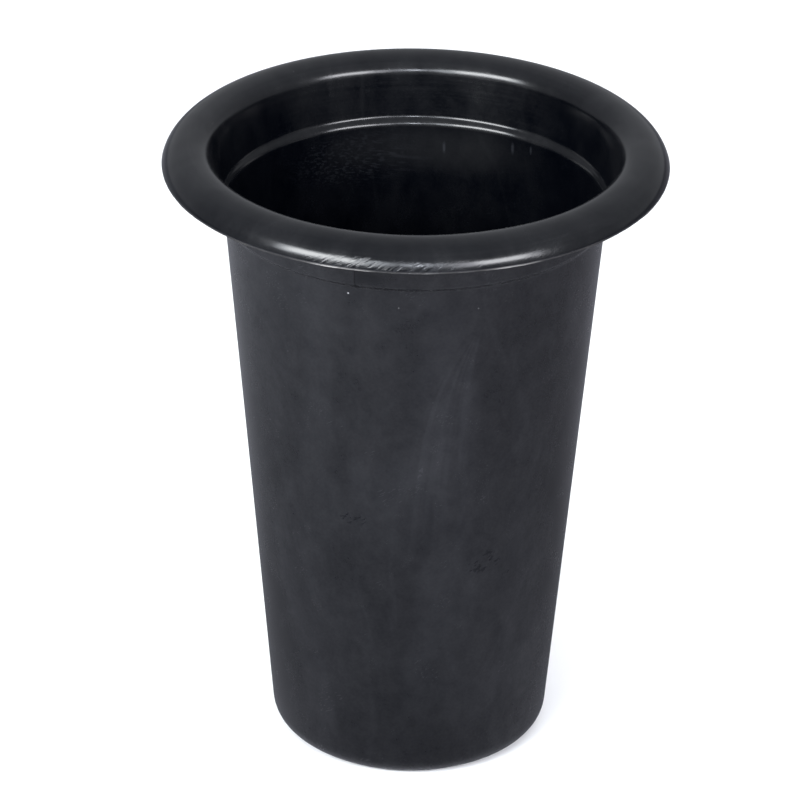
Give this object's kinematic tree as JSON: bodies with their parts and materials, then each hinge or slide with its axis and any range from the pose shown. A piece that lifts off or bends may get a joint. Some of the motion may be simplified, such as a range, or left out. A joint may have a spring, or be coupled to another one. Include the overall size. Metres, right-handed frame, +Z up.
{
  "type": "florist bucket",
  "caption": "Tall tapered round bucket with a broad domed rim, down-turned lip, inner stacking ledge and recessed base, moulded in black plastic.",
  "frame": {"origin": "centre of the foot ring, on the bucket's axis, in the plane it stands on", "axes": "+Z up along the bucket's axis; -Y is the side seen from the front; the body is round, so +X and +Y only fix where the collar's mould split line is, 17 degrees from -Y towards -X"},
  "size_m": [0.2, 0.2, 0.26],
  "materials": {
    "black_plastic": "near-black injection-moulded polypropylene, satin body with a glossier rim, light scuffs and dust"
  },
  "bodies": {
    "root": {"bucket_moulding": "black_plastic"}
  },
  "joints": []
}
